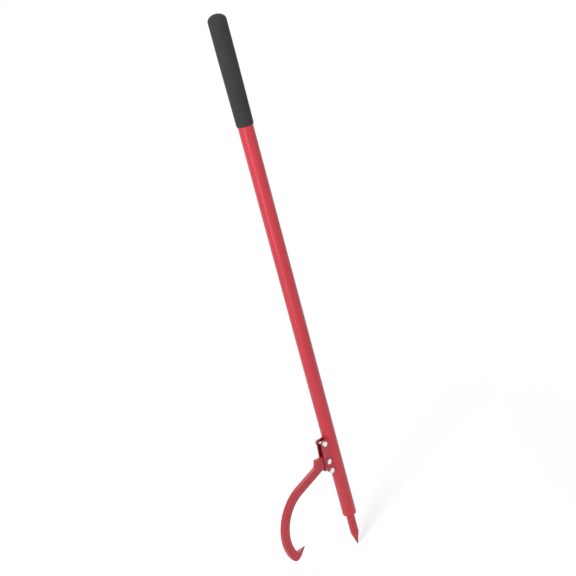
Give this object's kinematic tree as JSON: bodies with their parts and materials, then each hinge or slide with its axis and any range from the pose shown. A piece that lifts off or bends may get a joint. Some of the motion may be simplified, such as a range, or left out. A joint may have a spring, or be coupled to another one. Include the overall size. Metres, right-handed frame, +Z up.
{
  "type": "cant hook",
  "caption": "Steel log-turning tool: a tube handle with a closed foam grip, a spiked foot, and a swinging hook pivoted between two welded ears.",
  "frame": {"origin": "on the handle's axis, at the lower end of the tube, where the spike's shank comes out", "axes": "+Z up the handle towards the grip, -X towards the hook, Y along the hook's pivot with the bolt heads on the -Y side"},
  "size_m": [0.2245, 0.0372, 1.219],
  "materials": {
    "red_paint": "satin",
    "hook_paint": "satin",
    "black_foam": "matte",
    "zinc": "bright",
    "plain_steel": "matte"
  },
  "bodies": {
    "handle": {"handle_tube": "red_paint", "grip": "black_foam", "spike": "hook_paint", "end_plug": "plain_steel", "end_weld": "red_paint", "near_ear": "red_paint", "far_ear": "red_paint", "near_ear_weld": "red_paint", "far_ear_weld": "red_paint", "upper_bolt": "zinc", "pivot_bolt": "zinc", "lower_bolt": "zinc", "upper_nut": "zinc", "pivot_nut": "zinc", "lower_nut": "zinc", "upper_head_washer": "zinc", "pivot_head_washer": "zinc", "lower_head_washer": "zinc", "upper_nut_washer": "zinc", "pivot_nut_washer": "zinc", "lower_nut_washer": "zinc"},
    "hook": {"hook": "hook_paint"}
  },
  "joints": [
    {"name": "hook_swing", "type": "hinge", "parent": "handle", "child": "hook", "pos_m": [-0.02958, 0, 0.1585], "axis": [0, 1, 0], "range_deg": [-46, 81]}
  ]
}
